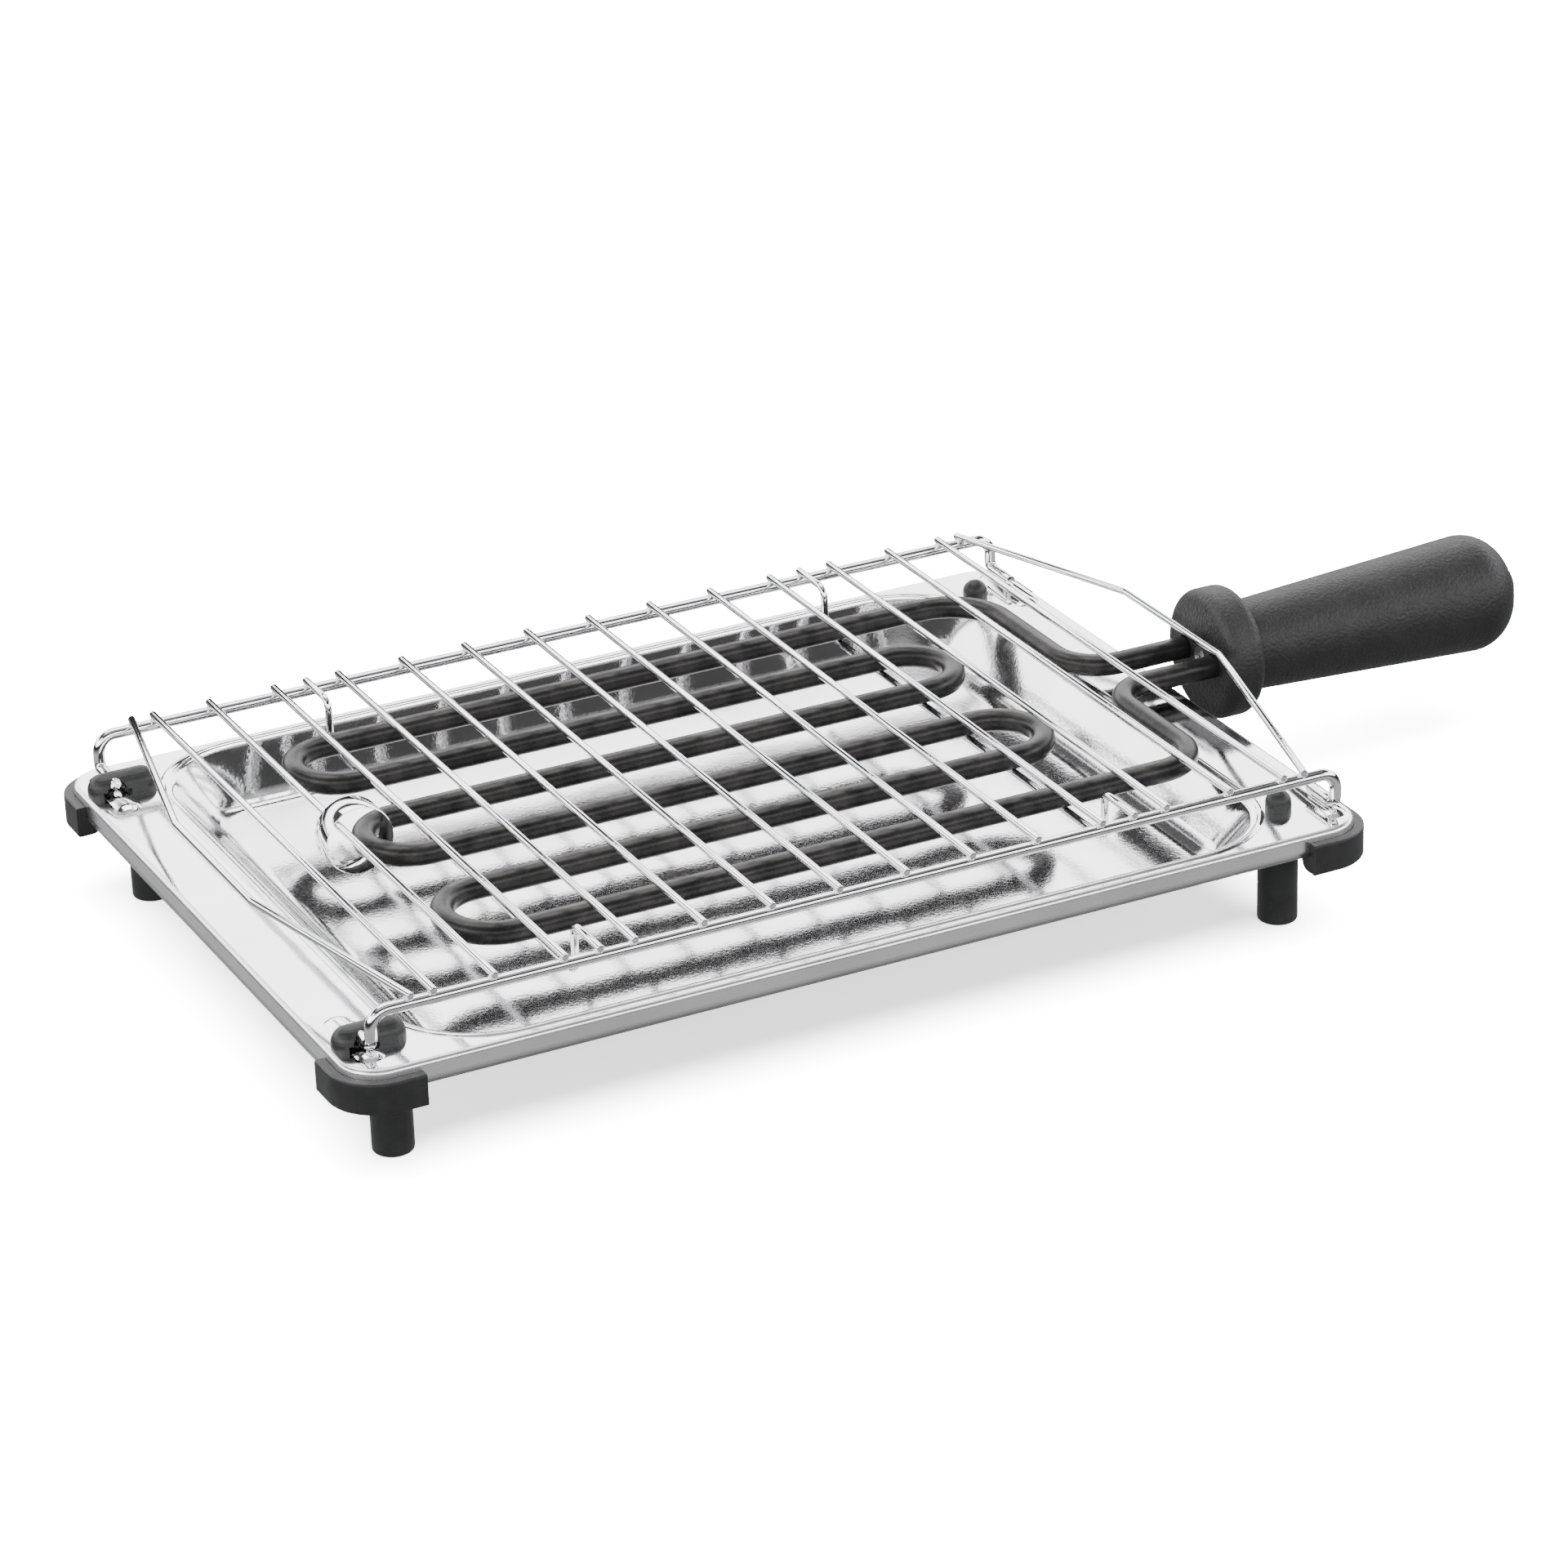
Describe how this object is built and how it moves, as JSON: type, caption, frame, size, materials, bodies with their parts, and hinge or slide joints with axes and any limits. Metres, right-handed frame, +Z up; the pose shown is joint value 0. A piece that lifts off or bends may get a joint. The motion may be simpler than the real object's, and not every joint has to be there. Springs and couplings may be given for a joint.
{
  "type": "electric table grill",
  "caption": "Flat electric table grill: steel drip tray on short feet, with a wire grid and a bent tubular element that lift together by one end handle.",
  "frame": {"origin": "on the table plane, under the middle of the footprint with the grid down", "axes": "+X along the grill towards the handle, +Y to the back, +Z up"},
  "size_m": [0.5936, 0.308, 0.0832],
  "materials": {
    "tray_steel": "polished stainless sheet",
    "chromed_wire": "bright chrome plate",
    "element_sheath": "dark heat-blackened oxide, dull",
    "black_plastic": "fine-grained heat-proof moulding",
    "black_rubber": "dull",
    "ivory_insulator": "glazed",
    "zinc_steel": "zinc plated",
    "brass": "plain"
  },
  "bodies": {
    "base": {"drip_tray": "tray_steel", "foot_front_left": "black_plastic", "foot_front_right": "black_plastic", "foot_rear_left": "black_plastic", "foot_rear_right": "black_plastic", "corner_guard_front_left": "black_plastic", "corner_guard_front_right": "black_plastic", "corner_guard_rear_left": "black_plastic", "corner_guard_rear_right": "black_plastic", "hinge_block_front": "black_plastic", "hinge_block_rear": "black_plastic", "domed_nut_front": "black_plastic", "domed_nut_rear": "black_plastic", "foot_screws": "zinc_steel", "screw_washers": "zinc_steel"},
    "grill": {"front_rail": "chromed_wire", "rear_rail": "chromed_wire", "cross_wire_1": "chromed_wire", "cross_wire_2": "chromed_wire", "cross_wire_3": "chromed_wire", "cross_wire_4": "chromed_wire", "cross_wire_5": "chromed_wire", "cross_wire_6": "chromed_wire", "cross_wire_7": "chromed_wire", "cross_wire_8": "chromed_wire", "cross_wire_9": "chromed_wire", "cross_wire_10": "chromed_wire", "cross_wire_11": "chromed_wire", "cross_wire_12": "chromed_wire", "cross_wire_13": "chromed_wire", "cross_wire_14": "chromed_wire", "end_wire_left": "chromed_wire", "end_wire_right": "chromed_wire", "cradle_wire_left": "chromed_wire", "cradle_wire_right": "chromed_wire", "ring_clip": "chromed_wire", "heating_element": "element_sheath", "element_seals": "ivory_insulator", "terminal_pins": "zinc_steel", "handle_collar": "black_plastic", "handle_grip": "black_plastic", "handle_bolt": "zinc_steel", "lead_bridge": "zinc_steel", "earth_tag": "brass", "bolt_nut": "zinc_steel", "terminal_block": "ivory_insulator", "terminal_screws": "brass", "cord_clamp": "zinc_steel", "clamp_screws": "zinc_steel", "cord_gland": "black_rubber"}
  },
  "joints": [
    {"name": "grill_lift", "type": "hinge", "parent": "base", "child": "grill", "pos_m": [-0.28025, 0, 0.05195], "axis": [0, -1, 0], "range_deg": [0, 95]}
  ]
}
